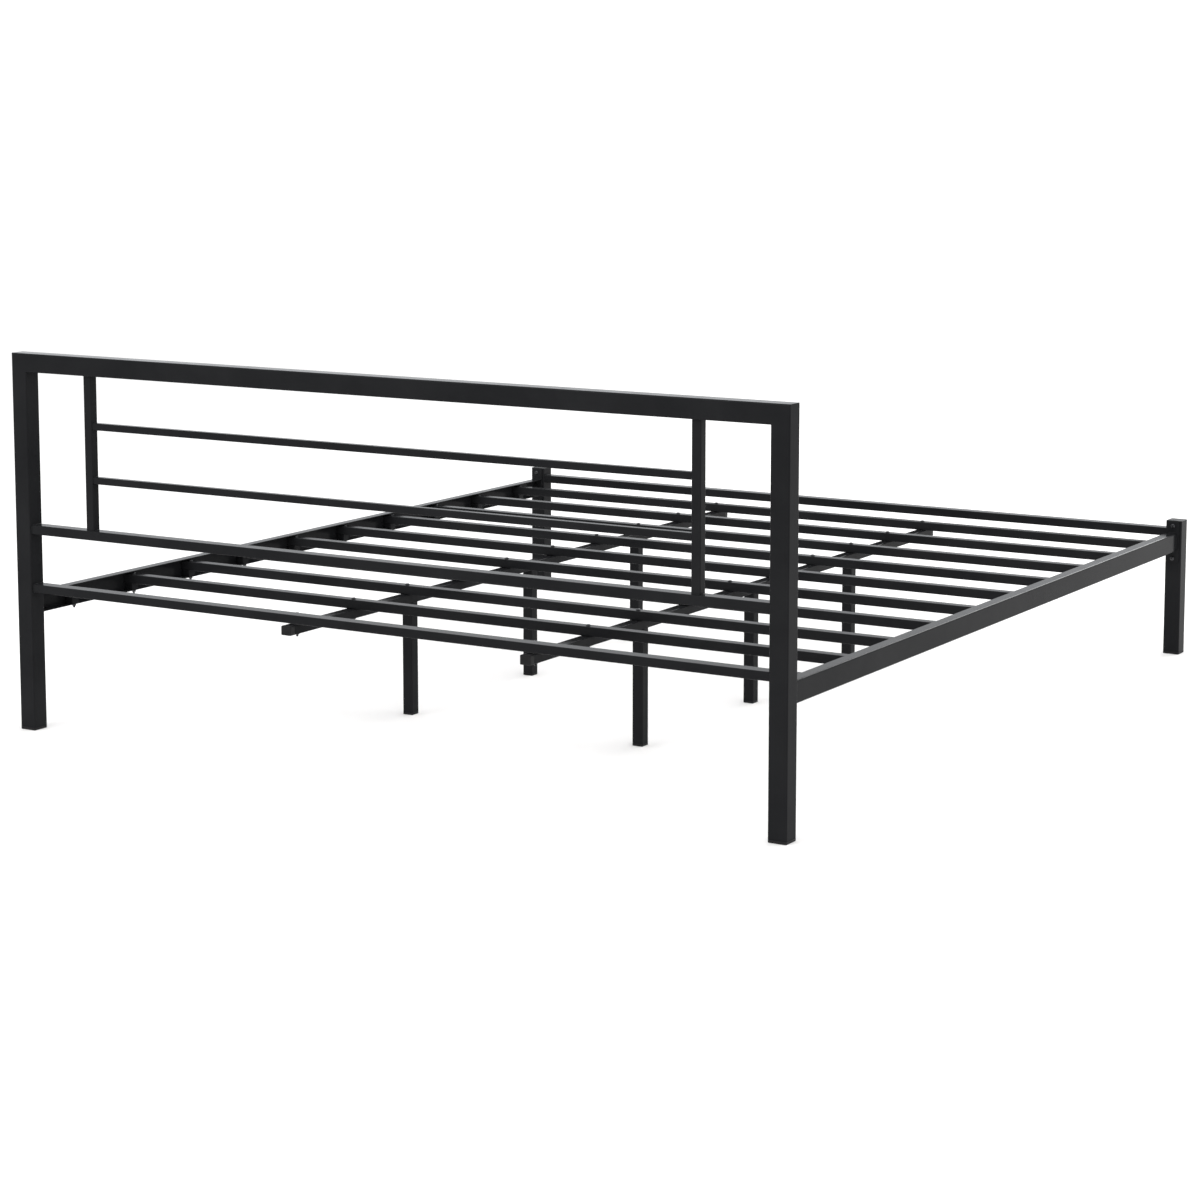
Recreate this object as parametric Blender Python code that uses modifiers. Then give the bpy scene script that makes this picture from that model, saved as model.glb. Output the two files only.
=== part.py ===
"""Metal bed frame with a tall tubular headboard, for a mattress of 1.80 by 2.00 m.

Metres, +Z up. The origin is on the floor at the middle of the footprint. The headboard stands
at +Y and the low foot end at -Y. Left is -X and right is +X, as seen from the foot end.
"""

import math
from typing import NamedTuple

import bmesh
import bpy
from mathutils import Euler, Vector

COLLECTION = "metal_bed_frame"
CUTTERS = "cutters"

# Gap left between two pieces that touch, are welded or are bolted together.
FIT = 0.0003

# Overall sizes. The foot end's height is counted from the top of the side rails.
FRAME_WIDTH = 1.870
FRAME_LENGTH = 2.110
HEAD_HEIGHT = 0.820
RAIL_TOP = 0.300
FOOT_RISE = 0.030


class Tube(NamedTuple):
    """Section of a rectangular tube: across and deep outside, wall, corner radius."""

    across: float
    deep: float
    wall: float
    corner: float


# Tube stock. A vertical tube is across along X and deep along Y. A tube that runs along X is
# across along Z and deep along Y. A tube that runs along Y is across along X and deep along Z.
POST = Tube(0.040, 0.040, 0.0015, 0.003)
TOP_RAIL = Tube(0.040, POST.deep, 0.0015, 0.003)
MID_RAIL = Tube(0.020, 0.030, 0.0012, 0.002)
BOTTOM_RAIL = Tube(0.018, 0.030, 0.0012, 0.002)
FOOT_RAIL = Tube(0.020, 0.030, 0.0012, 0.002)
UPRIGHT = Tube(0.020, 0.020, 0.0012, 0.002)
THIN_BAR = Tube(0.015, 0.015, 0.0012, 0.002)
BEAM = Tube(0.025, 0.020, 0.0015, 0.002)
LEG = Tube(0.025, 0.025, 0.0015, 0.002)
SLAT = Tube(0.020, 0.025, 0.0012, 0.002)
CORNER_STEPS = 4
CHAMFER_STEPS = 2

# Headboard layout. The two rises are counted from the top of the side rails.
MID_RAIL_RISE = 0.150
BOTTOM_RAIL_RISE = 0.021
UPRIGHT_GAP = 0.150

# Foot end layout.
FOOT_RAIL_RISE = 0.010

# Side rails: channels that open towards the middle of the bed.
RAIL_HEIGHT = 0.045
RAIL_WIDTH = 0.025
RAIL_WALL = 0.002
RAIL_CORNER = 0.0035
RAIL_INSET = 0.010

# Plate on each end of a side rail, and its bolts into the post, above and below the rail.
PLATE_SETBACK = 0.005
PLATE_MARGIN = 0.010
PLATE_THICK = 0.004
PLATE_CORNER = 0.003
BOLT_REACH = 0.0175
BOLT_RADIUS = 0.003
BOLT_HOLE_RADIUS = 0.0035
BOLT_LENGTH = 0.020
BOLT_HEAD_RADIUS = 0.0055
BOLT_HEAD_HEIGHT = 0.0033
BOLT_SOCKET = 0.004
BOLT_SOCKET_DEPTH = 0.002
ROUND_STEPS = 16

# Shape of a bolt's head, as shares of its radius and of its height.
CROWN_FLAT = 0.5
CROWN_RIM = 0.25
CROWN_STEPS = 4

# Support beams under the slats, and the legs under the beams.
BEAM_OFFSET = 0.295
BEAM_END_GAP = 0.068
BEAM_CAP_LENGTH = 0.014
LEG_ROW = 0.495
LEG_ROWS = {"head": LEG_ROW, "middle": 0.0, "foot": -LEG_ROW}

# Slats across the bed, with a spacer foot at each end that stands in the side rail.
SLAT_COUNT = 10
SLAT_HEADROOM = 0.0057
END_SLAT_GAP = 0.107
SLAT_END_PLAY = 0.001
SLAT_FOOT_SINK = 0.0006

# Plastic plugs in the open tube ends.
POST_PAD = 0.005
LEG_PAD = 0.004
POST_CAP = 0.0025
POST_CAP_CHAMFER = 0.0018
PLUG_SKIRT = 0.012
SKIRT_PLAY = 0.001

# Mesh tolerances: how well a direction must agree, how near a point must be, and what merges.
ALIGNED = 0.99
NEAR = 1e-5
MERGE = 1e-6
SMOOTH_BELOW = math.radians(40)

# Planes that several pieces share.
SIDE = FRAME_WIDTH / 2
END = FRAME_LENGTH / 2
POST_X = SIDE - POST.across / 2
POST_Y = END - POST.deep / 2
POST_FACE_X = SIDE - POST.across
POST_FACE_Y = END - POST.deep
FOOT_HEIGHT = RAIL_TOP + FOOT_RISE
TOP_RAIL_BOTTOM = HEAD_HEIGHT - TOP_RAIL.across
MID_RAIL_TOP = RAIL_TOP + MID_RAIL_RISE
BAR_GAP = (TOP_RAIL_BOTTOM - MID_RAIL_TOP - 2 * THIN_BAR.across) / 3
UPRIGHT_X = POST_FACE_X - UPRIGHT_GAP - UPRIGHT.across / 2
RAIL_FACE_X = SIDE - RAIL_INSET
RAIL_MID_Z = RAIL_TOP - RAIL_HEIGHT / 2
PLATE_FACE_Y = POST_FACE_Y - FIT - PLATE_THICK
BOLT_SPACING = RAIL_HEIGHT + 2 * BOLT_REACH
CAP_SKIRT = FOOT_RISE - POST_CAP - BOLT_REACH - BOLT_RADIUS - SKIRT_PLAY
SLAT_BOTTOM = RAIL_TOP - RAIL_WALL - SLAT_HEADROOM - SLAT.across
BEAM_TOP = SLAT_BOTTOM - FIT
BEAM_BOTTOM = BEAM_TOP - BEAM.deep
BEAM_END = POST_FACE_Y - BEAM_END_GAP
SLAT_END_X = RAIL_FACE_X - RAIL_WALL - SLAT_END_PLAY
END_SLAT_Y = POST_FACE_Y - END_SLAT_GAP

SIDES = {"left": -1, "right": 1}
ENDS = {"head": 1, "foot": -1}
LEVELS = {"upper": 1, "lower": -1}

ALONG_X = Euler((0, math.pi / 2, 0))
ALONG_Y = Euler((-math.pi / 2, 0, 0))
UPSIDE_DOWN = Euler((math.pi, 0, 0))


class Finish(NamedTuple):
    """Colour, roughness and metallic value of a Principled BSDF."""

    colour: tuple
    roughness: float
    metallic: float


POWDER_COAT = Finish((0.022, 0.022, 0.024, 1.0), 0.38, 0.0)
BLACK_PLASTIC = Finish((0.016, 0.016, 0.017, 1.0), 0.45, 0.0)
BLACK_ZINC = Finish((0.075, 0.075, 0.080, 1.0), 0.32, 0.9)


# Scene.


def clear_scene():
    """Removes whatever the file opened with."""
    for obj in list(bpy.data.objects):
        bpy.data.objects.remove(obj, do_unlink=True)


def new_collection(name):
    """Makes a collection in the scene."""
    collection = bpy.data.collections.new(name)
    bpy.context.scene.collection.children.link(collection)
    return collection


def new_material(name, finish):
    """Makes a Principled BSDF material from a finish."""
    material = bpy.data.materials.new(name)
    material.use_nodes = True
    shader = material.node_tree.nodes["Principled BSDF"]
    shader.inputs["Base Color"].default_value = finish.colour
    shader.inputs["Roughness"].default_value = finish.roughness
    shader.inputs["Metallic"].default_value = finish.metallic
    material.diffuse_color = finish.colour
    return material


def place(bm, name, finish, location, rotation=Euler((0, 0, 0))):
    """Turns a bmesh into a named object of the bed frame, with its own material."""
    bmesh.ops.recalc_face_normals(bm, faces=bm.faces[:])
    mesh = bpy.data.meshes.new(name)
    bm.to_mesh(mesh)
    bm.free()
    mesh.shade_smooth()
    mesh.set_sharp_from_angle(angle=SMOOTH_BELOW)
    obj = bpy.data.objects.new(name, mesh)
    obj.location = location
    obj.rotation_euler = rotation
    obj.parent = bpy.data.objects[COLLECTION]
    obj.data.materials.append(new_material(name + "_finish", finish))
    bpy.data.collections[COLLECTION].objects.link(obj)
    return obj


def add_boolean(obj, operation, cutters):
    """Cuts each cutter out of an object, or joins it on, and hides the cutter from renders."""
    for cutter in cutters:
        cutter.hide_render = True
        cutter.display_type = "WIRE"
        bpy.data.collections[CUTTERS].objects.link(cutter)
        modifier = obj.modifiers.new(cutter.name, "BOOLEAN")
        modifier.operation = operation
        modifier.object = cutter
        modifier.solver = "EXACT"


def helper(bm, name, location, rotation=Euler((0, 0, 0))):
    """Turns a bmesh into an object that only cuts or joins."""
    bmesh.ops.recalc_face_normals(bm, faces=bm.faces[:])
    mesh = bpy.data.meshes.new(name)
    bm.to_mesh(mesh)
    bm.free()
    obj = bpy.data.objects.new(name, mesh)
    obj.location = location
    obj.rotation_euler = rotation
    return obj


# Shapes. Each one runs along its own Z axis, from 0 upwards.


def box(across, deep, length):
    """Solid block, centred across and deep."""
    bm = bmesh.new()
    bmesh.ops.create_cube(bm, size=1.0)
    bmesh.ops.translate(bm, verts=bm.verts[:], vec=(0, 0, 0.5))
    bmesh.ops.scale(bm, verts=bm.verts[:], vec=(across, deep, length))
    return bm


def long_edges(bm):
    """Edges that run along the shape's own Z."""
    found = []
    for edge in bm.edges:
        direction = (edge.verts[1].co - edge.verts[0].co).normalized()
        if abs(direction.z) > ALIGNED:
            found.append(edge)
    return found


def round_edges(bm, edges, radius, steps):
    """Rounds edges to a radius, or chamfers them where the steps are few."""
    bmesh.ops.bevel(
        bm,
        geom=edges,
        offset=radius,
        offset_type="OFFSET",
        segments=steps,
        profile=0.5,
        affect="EDGES",
        material=-1,
    )


def end_faces(bm, *signs):
    """Faces that look along Z: up for a sign of 1, down for -1."""
    bm.normal_update()
    return [face for face in bm.faces if any(face.normal.z * sign > ALIGNED for sign in signs)]


def hollow(bm, wall):
    """Gives an open shell its wall, inwards from the surface it has."""
    bmesh.ops.recalc_face_normals(bm, faces=bm.faces[:])
    bmesh.ops.solidify(bm, geom=bm.faces[:], thickness=wall)


def tube(section, length):
    """Open rectangular tube with rounded corners."""
    bm = box(section.across, section.deep, length)
    bmesh.ops.delete(bm, geom=end_faces(bm, 1, -1), context="FACES_ONLY")
    round_edges(bm, long_edges(bm), section.corner, CORNER_STEPS)
    hollow(bm, section.wall)
    return bm


def mitre(bm, at, slope):
    """Tilts the end of a tube at height `at`: it rises by `slope` for each metre along X."""
    for vert in bm.verts:
        if abs(vert.co.z - at) < NEAR:
            vert.co.z += slope * vert.co.x


def channel(length):
    """Side rail: top flange, web at -X and bottom flange, open at +X."""
    bm = box(RAIL_WIDTH, RAIL_HEIGHT, length)
    bm.normal_update()
    open_side = [face for face in bm.faces if face.normal.x > ALIGNED]
    bmesh.ops.delete(bm, geom=end_faces(bm, 1, -1) + open_side, context="FACES_ONLY")
    web_edges = [edge for edge in long_edges(bm) if edge.verts[0].co.x < 0]
    round_edges(bm, web_edges, RAIL_CORNER, CORNER_STEPS)
    loose = [edge for edge in bm.edges if not edge.link_faces]
    bmesh.ops.delete(bm, geom=loose, context="EDGES")
    for face in bm.faces:
        if (face.calc_center_median() - Vector((0, 0, length / 2))).dot(face.normal) < 0:
            face.normal_flip()
    bmesh.ops.solidify(bm, geom=bm.faces[:], thickness=RAIL_WALL)
    return bm


def plug(section, rim, skirt, chamfer=0.0):
    """Plastic plug: a rim that covers a tube's end and a skirt that goes down inside the tube."""
    bm = box(section.across, section.deep, rim)
    round_edges(bm, long_edges(bm), section.corner, CORNER_STEPS)
    if chamfer:
        outer = {edge for face in end_faces(bm, 1) for edge in face.edges}
        round_edges(bm, list(outer), chamfer, CHAMFER_STEPS)
    inner = end_faces(bm, -1)
    bmesh.ops.inset_region(bm, faces=inner, thickness=section.wall + FIT)
    grown = bmesh.ops.extrude_face_region(bm, geom=inner)["geom"]
    moved = [item for item in grown if isinstance(item, bmesh.types.BMVert)]
    bmesh.ops.translate(bm, verts=moved, vec=(0, 0, -skirt))
    bmesh.ops.delete(bm, geom=inner, context="FACES_ONLY")
    return bm


def rod(radius, length, steps=ROUND_STEPS):
    """Solid cylinder, or a prism where the steps are few."""
    bm = bmesh.new()
    bmesh.ops.create_cone(
        bm, cap_ends=True, segments=steps, radius1=radius, radius2=radius, depth=length
    )
    bmesh.ops.translate(bm, verts=bm.verts[:], vec=(0, 0, length / 2))
    return bm


def bolt_profile():
    """Half the outline of a button-head bolt, from the middle of its head to the end of its shank."""
    points = [Vector((0, 0, BOLT_HEAD_HEIGHT))]
    for step in range(CROWN_STEPS + 1):
        angle = math.pi / 2 * step / CROWN_STEPS
        x = BOLT_HEAD_RADIUS * (CROWN_FLAT + (1 - CROWN_FLAT) * math.sin(angle))
        z = BOLT_HEAD_HEIGHT * (CROWN_RIM + (1 - CROWN_RIM) * math.cos(angle))
        points.append(Vector((x, 0, z)))
    points.append(Vector((BOLT_HEAD_RADIUS, 0, 0)))
    points.append(Vector((BOLT_RADIUS, 0, 0)))
    points.append(Vector((BOLT_RADIUS, 0, -BOLT_LENGTH)))
    points.append(Vector((0, 0, -BOLT_LENGTH)))
    bm = bmesh.new()
    verts = [bm.verts.new(point) for point in points]
    for pair in zip(verts, verts[1:]):
        bm.edges.new(pair)
    return bm


def turn_profile(obj):
    """Turns an object's outline once round its Z axis."""
    screw = obj.modifiers.new("turn", "SCREW")
    screw.axis = "Z"
    screw.angle = 2 * math.pi
    screw.steps = ROUND_STEPS
    screw.render_steps = ROUND_STEPS
    screw.use_merge_vertices = True
    screw.merge_threshold = MERGE


# Headboard.


def bolt_holes(name, x, y, direction):
    """Two cutters through a wall at (x, y), one for each bolt of a side rail's end plate."""
    reach = PLATE_THICK + 2 * POST.wall
    cutters = []
    for level, up in LEVELS.items():
        spot = (x, y - direction * reach / 2, RAIL_MID_Z + up * BOLT_SPACING / 2)
        turn = ALONG_Y if direction > 0 else Euler((math.pi / 2, 0, 0))
        cutters.append(helper(rod(BOLT_HOLE_RADIUS, reach), f"{name}_{level}_hole", spot, turn))
    return cutters


def build_head_posts():
    """Two posts, cut to a mitre at the top and drilled for the side rail bolts."""
    bottom = POST_PAD + FIT
    inner_length = HEAD_HEIGHT - bottom - TOP_RAIL.across / 2 - FIT * math.sqrt(2)
    slope = TOP_RAIL.across / POST.across
    for side, sign in SIDES.items():
        bm = tube(POST, inner_length)
        mitre(bm, inner_length, sign * slope)
        name = f"head_post_{side}"
        post = place(bm, name, POWDER_COAT, (sign * POST_X, POST_Y, bottom))
        holes = bolt_holes(name, sign * POST_X, POST_FACE_Y + POST.wall / 2, 1)
        add_boolean(post, "DIFFERENCE", holes)


def build_top_rail():
    """Rail between the posts' mitres, as long as the frame is wide along its top edge."""
    mid_length = FRAME_WIDTH - POST.across
    bm = tube(TOP_RAIL, mid_length)
    slope = POST.across / TOP_RAIL.across
    mitre(bm, mid_length, -slope)
    mitre(bm, 0, slope)
    centre = HEAD_HEIGHT - TOP_RAIL.across / 2
    place(bm, "head_top_rail", POWDER_COAT, (-mid_length / 2, POST_Y, centre), ALONG_X)


def build_cross_rail(name, section, half_span, y, top):
    """Straight tube along X between two faces at plus and minus half_span."""
    length = 2 * (half_span - FIT)
    spot = (-length / 2, y, top - section.across / 2)
    place(tube(section, length), name, POWDER_COAT, spot, ALONG_X)


def build_head_panel():
    """Mid rail, bottom rail, two inner uprights and two thin bars, in the posts' mid plane."""
    build_cross_rail("head_mid_rail", MID_RAIL, POST_FACE_X, POST_Y, MID_RAIL_TOP)
    bottom_top = RAIL_TOP + BOTTOM_RAIL_RISE
    build_cross_rail("head_bottom_rail", BOTTOM_RAIL, POST_FACE_X, POST_Y, bottom_top)
    height = TOP_RAIL_BOTTOM - MID_RAIL_TOP - 2 * FIT
    for side, sign in SIDES.items():
        spot = (sign * UPRIGHT_X, POST_Y, MID_RAIL_TOP + FIT)
        place(tube(UPRIGHT, height), f"head_inner_upright_{side}", POWDER_COAT, spot)
    span = UPRIGHT_X - UPRIGHT.across / 2
    lower_top = MID_RAIL_TOP + BAR_GAP + THIN_BAR.across
    upper_top = TOP_RAIL_BOTTOM - BAR_GAP
    build_cross_rail("head_lower_bar", THIN_BAR, span, POST_Y, lower_top)
    build_cross_rail("head_upper_bar", THIN_BAR, span, POST_Y, upper_top)


# Foot end.


def build_foot_end():
    """Two short posts with capped tops, and the rail between them."""
    bottom = POST_PAD + FIT
    length = FOOT_HEIGHT - POST_CAP - FIT - bottom
    for side, sign in SIDES.items():
        name = f"foot_post_{side}"
        post = place(tube(POST, length), name, POWDER_COAT, (sign * POST_X, -POST_Y, bottom))
        holes = bolt_holes(name, sign * POST_X, -POST_FACE_Y - POST.wall / 2, -1)
        add_boolean(post, "DIFFERENCE", holes)
        cap = plug(POST, POST_CAP, CAP_SKIRT, POST_CAP_CHAMFER)
        spot = (sign * POST_X, -POST_Y, FOOT_HEIGHT - POST_CAP)
        place(cap, f"foot_post_cap_{side}", BLACK_PLASTIC, spot)
    rail_top = RAIL_TOP + FOOT_RAIL_RISE
    build_cross_rail("foot_cross_rail", FOOT_RAIL, POST_FACE_X, -POST_Y, rail_top)


def build_post_feet():
    """Plastic glide in the bottom of each post."""
    for end, along in ENDS.items():
        for side, sign in SIDES.items():
            spot = (sign * POST_X, along * POST_Y, POST_PAD)
            foot = plug(POST, POST_PAD, PLUG_SKIRT)
            place(foot, f"{end}_post_foot_{side}", BLACK_PLASTIC, spot, UPSIDE_DOWN)


# Side rails.


def build_side_rails():
    """Channel along each side, between its two end plates."""
    half = PLATE_FACE_Y - FIT
    for side, sign in SIDES.items():
        bm = channel(2 * half)
        if sign > 0:
            bmesh.ops.scale(bm, verts=bm.verts[:], vec=(-1, 1, 1))
        spot = (sign * (RAIL_FACE_X - RAIL_WIDTH / 2), -half, RAIL_MID_Z)
        place(bm, f"side_rail_{side}", POWDER_COAT, spot, ALONG_Y)


def build_end_plates():
    """Plate on each end of each rail, drilled above and below the rail."""
    width = POST.across - 2 * PLATE_SETBACK
    height = BOLT_SPACING + 2 * PLATE_MARGIN
    for end, along in ENDS.items():
        for side, sign in SIDES.items():
            name = f"{end}_end_plate_{side}"
            bm = box(width, height, PLATE_THICK)
            round_edges(bm, long_edges(bm), PLATE_CORNER, CORNER_STEPS)
            low_y = PLATE_FACE_Y if along > 0 else -PLATE_FACE_Y - PLATE_THICK
            plate = place(bm, name, POWDER_COAT, (sign * POST_X, low_y, RAIL_MID_Z), ALONG_Y)
            middle = along * (PLATE_FACE_Y + PLATE_THICK / 2)
            holes = bolt_holes(name, sign * POST_X, middle, along)
            add_boolean(plate, "DIFFERENCE", holes)


def build_corner_bolts():
    """Button-head bolt above and below the rail at each corner, driven into the post."""
    for end, along in ENDS.items():
        turn = Euler((along * math.pi / 2, 0, 0))
        for side, sign in SIDES.items():
            for level, up in LEVELS.items():
                name = f"{end}_bolt_{side}_{level}"
                y = along * (PLATE_FACE_Y - FIT)
                spot = Vector((sign * POST_X, y, RAIL_MID_Z + up * BOLT_SPACING / 2))
                bolt = place(bolt_profile(), name, BLACK_ZINC, spot, turn)
                turn_profile(bolt)
                key = rod(BOLT_SOCKET / math.sqrt(3), 2 * BOLT_SOCKET_DEPTH, 6)
                floor = BOLT_HEAD_HEIGHT - BOLT_SOCKET_DEPTH
                key_spot = spot + Vector((0, -along * floor, 0))
                add_boolean(bolt, "DIFFERENCE", [helper(key, name + "_socket", key_spot, turn)])


# Supports under the mattress.


def build_beams():
    """Two capped tubes along the bed, under the slats."""
    half = BEAM_END - BEAM_CAP_LENGTH - FIT
    centre = BEAM_TOP - BEAM.deep / 2
    for side, sign in SIDES.items():
        spot = (sign * BEAM_OFFSET, -half, centre)
        place(tube(BEAM, 2 * half), f"support_beam_{side}", POWDER_COAT, spot, ALONG_Y)
        for end, along in ENDS.items():
            cap = plug(BEAM, BEAM_CAP_LENGTH, PLUG_SKIRT)
            turn = Euler((-along * math.pi / 2, 0, 0))
            cap_spot = (sign * BEAM_OFFSET, along * (BEAM_END - BEAM_CAP_LENGTH), centre)
            place(cap, f"beam_cap_{end}_{side}", BLACK_PLASTIC, cap_spot, turn)


def build_legs():
    """Rows of two legs under the beams, each with a plastic glide."""
    bottom = LEG_PAD + FIT
    length = BEAM_BOTTOM - FIT - bottom
    for row, y in LEG_ROWS.items():
        for side, sign in SIDES.items():
            x = sign * BEAM_OFFSET
            place(tube(LEG, length), f"centre_leg_{row}_{side}", POWDER_COAT, (x, y, bottom))
            foot = plug(LEG, LEG_PAD, PLUG_SKIRT)
            name = f"centre_leg_foot_{row}_{side}"
            place(foot, name, BLACK_PLASTIC, (x, y, LEG_PAD), UPSIDE_DOWN)


def build_slats():
    """Evenly spaced tubes across the bed that stand in both side rails and on both beams."""
    pitch = 2 * END_SLAT_Y / (SLAT_COUNT - 1)
    foot_bottom = RAIL_TOP - RAIL_HEIGHT + RAIL_WALL + FIT
    foot_height = SLAT_BOTTOM + SLAT_FOOT_SINK - foot_bottom
    foot_length = SLAT_END_X - (RAIL_FACE_X - RAIL_WIDTH)
    for index in range(SLAT_COUNT):
        y = END_SLAT_Y - index * pitch
        name = f"slat_{index + 1:02d}"
        spot = (-SLAT_END_X, y, SLAT_BOTTOM + SLAT.across / 2)
        slat = place(tube(SLAT, 2 * SLAT_END_X), name, POWDER_COAT, spot, ALONG_X)
        feet = []
        for side, sign in SIDES.items():
            bm = box(foot_length, SLAT.deep - 2 * SLAT.corner, foot_height)
            foot_x = sign * (SLAT_END_X - foot_length / 2)
            feet.append(helper(bm, f"{name}_foot_{side}", (foot_x, y, foot_bottom)))
        add_boolean(slat, "UNION", feet)


def main():
    """Builds the whole frame under one empty, in one collection."""
    clear_scene()
    collection = new_collection(COLLECTION)
    new_collection(CUTTERS)
    collection.objects.link(bpy.data.objects.new(COLLECTION, None))
    build_head_posts()
    build_top_rail()
    build_head_panel()
    build_foot_end()
    build_post_feet()
    build_side_rails()
    build_end_plates()
    build_corner_bolts()
    build_beams()
    build_legs()
    build_slats()


main()
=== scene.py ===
"""Looks of a black tubular metal bed frame: fine tubes, plugs, fasteners, welds and finishes.

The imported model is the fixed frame. Each class below rebuilds one kind of piece at a finer
grain, in the place that its own node holds, and dresses it in one of the finishes.
"""

import logging
import math
from dataclasses import dataclass, field
from enum import Enum
from typing import ClassVar, Dict, Iterable, List, Sequence, Tuple, Union

import bmesh
import bpy
from bmesh.types import BMEdge, BMesh, BMFace, BMVert
from bpy.types import Material, Node, NodeSocket, NodeTree, Object
from mathutils import Matrix, Vector


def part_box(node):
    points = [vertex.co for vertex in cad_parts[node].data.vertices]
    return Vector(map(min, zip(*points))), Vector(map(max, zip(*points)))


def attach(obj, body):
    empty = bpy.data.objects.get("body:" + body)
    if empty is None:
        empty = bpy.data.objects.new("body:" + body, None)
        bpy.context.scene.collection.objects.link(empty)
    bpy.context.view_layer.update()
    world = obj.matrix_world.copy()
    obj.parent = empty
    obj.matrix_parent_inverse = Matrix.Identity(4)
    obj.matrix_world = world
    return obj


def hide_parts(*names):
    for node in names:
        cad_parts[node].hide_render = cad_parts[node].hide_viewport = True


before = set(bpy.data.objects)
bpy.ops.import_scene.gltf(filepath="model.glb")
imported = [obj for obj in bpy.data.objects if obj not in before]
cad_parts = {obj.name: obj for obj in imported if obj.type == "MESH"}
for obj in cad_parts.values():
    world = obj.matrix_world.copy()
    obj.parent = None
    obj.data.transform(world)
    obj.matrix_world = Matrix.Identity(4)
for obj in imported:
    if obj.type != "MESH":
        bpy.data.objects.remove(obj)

LOG = logging.getLogger("bed_frame")
BODY = "root"

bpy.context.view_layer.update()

Colour = Tuple[float, float, float, float]


class Axis(Enum):
    """Direction that a tube or a bead runs along."""

    X = 0
    Y = 1
    Z = 2


class Side(Enum):
    """Left or right of the bed, as the sign of X."""

    LEFT = -1
    RIGHT = 1

    @property
    def word(self) -> str:
        """The side's name as the nodes spell it."""
        return self.name.lower()


class End(Enum):
    """Head or foot of the bed, as the sign of Y."""

    HEAD = 1
    FOOT = -1

    @property
    def word(self) -> str:
        """The end's name as the nodes spell it."""
        return self.name.lower()


# Finishes.

BLACK: Colour = (0.0104, 0.0106, 0.0114, 1.0)
BLACK_DRIFT: Colour = (0.0140, 0.0142, 0.0150, 1.0)
DUST: Colour = (0.34, 0.33, 0.31, 1.0)


def add_node(tree: NodeTree, kind: str, **values: object) -> Node:
    """Adds a node and sets its inputs by name, or its own settings where no input has that name.

    Args:
        tree: the tree that gets the node.
        kind: the node's type, such as "ShaderNodeTexNoise".
        **values: input values or settings; an underscore stands for a space in an input's name.

    Returns:
        The new node.
    """
    node = tree.nodes.new(kind)
    for key, value in values.items():
        socket = key.replace("_", " ").title()
        if socket in node.inputs:
            node.inputs[socket].default_value = value
        else:
            setattr(node, key, value)
    return node


def new_group(
    name: str, inputs: Sequence[Tuple[str, float]], outputs: Sequence[Tuple[str, str]]
) -> NodeTree:
    """Makes an empty shader node group with a Vector input, float inputs and the given outputs.

    Args:
        name: the group's name.
        inputs: name and default value of each float input.
        outputs: name and socket type of each output.

    Returns:
        The group's tree, with its input and output nodes in place.
    """
    tree = bpy.data.node_groups.new(name, "ShaderNodeTree")
    tree.interface.new_socket("Vector", in_out="INPUT", socket_type="NodeSocketVector")
    for label, value in inputs:
        socket = tree.interface.new_socket(label, in_out="INPUT", socket_type="NodeSocketFloat")
        socket.default_value = value
    for label, kind in outputs:
        tree.interface.new_socket(label, in_out="OUTPUT", socket_type=kind)
    tree.nodes.new("NodeGroupInput")
    tree.nodes.new("NodeGroupOutput")
    return tree


def ends_of(tree: NodeTree) -> Tuple[Node, Node]:
    """Returns a group's input node and output node."""
    return tree.nodes["Group Input"], tree.nodes["Group Output"]


def build_peel_group() -> NodeTree:
    """Fine dimpled skin of baked powder, as a height: small dimples over a slow swell.

    Returns:
        The group.
    """
    inputs = [("Scale", 700.0), ("Swell", 0.35)]
    tree = new_group("baked_skin", inputs, [("Height", "NodeSocketFloat")])
    start, end = ends_of(tree)
    coarse = add_node(tree, "ShaderNodeTexNoise", detail=2.0, roughness=0.45)
    slow = add_node(tree, "ShaderNodeTexNoise", detail=1.0, scale=38.0)
    weigh = add_node(tree, "ShaderNodeMath", operation="MULTIPLY_ADD")
    tree.links.new(start.outputs["Vector"], coarse.inputs["Vector"])
    tree.links.new(start.outputs["Scale"], coarse.inputs["Scale"])
    tree.links.new(start.outputs["Vector"], slow.inputs["Vector"])
    tree.links.new(slow.outputs["Fac"], weigh.inputs[0])
    tree.links.new(start.outputs["Swell"], weigh.inputs[1])
    tree.links.new(coarse.outputs["Fac"], weigh.inputs[2])
    tree.links.new(weigh.outputs[0], end.inputs["Height"])
    return tree


def build_mottle_group() -> NodeTree:
    """Patchy value between two limits: broad cloudiness broken up by a finer one.

    Returns:
        The group.
    """
    inputs = [("Scale", 9.0), ("Low", 0.0), ("High", 1.0)]
    tree = new_group("mottle", inputs, [("Value", "NodeSocketFloat")])
    start, end = ends_of(tree)
    cloud = add_node(tree, "ShaderNodeTexNoise", detail=5.0, roughness=0.62, distortion=0.4)
    spread = add_node(tree, "ShaderNodeMapRange", clamp=True, from_min=0.36, from_max=0.66)
    tree.links.new(start.outputs["Vector"], cloud.inputs["Vector"])
    tree.links.new(start.outputs["Scale"], cloud.inputs["Scale"])
    tree.links.new(cloud.outputs["Fac"], spread.inputs["Value"])
    tree.links.new(start.outputs["Low"], spread.inputs["To Min"])
    tree.links.new(start.outputs["High"], spread.inputs["To Max"])
    tree.links.new(spread.outputs["Result"], end.inputs["Value"])
    return tree


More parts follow.
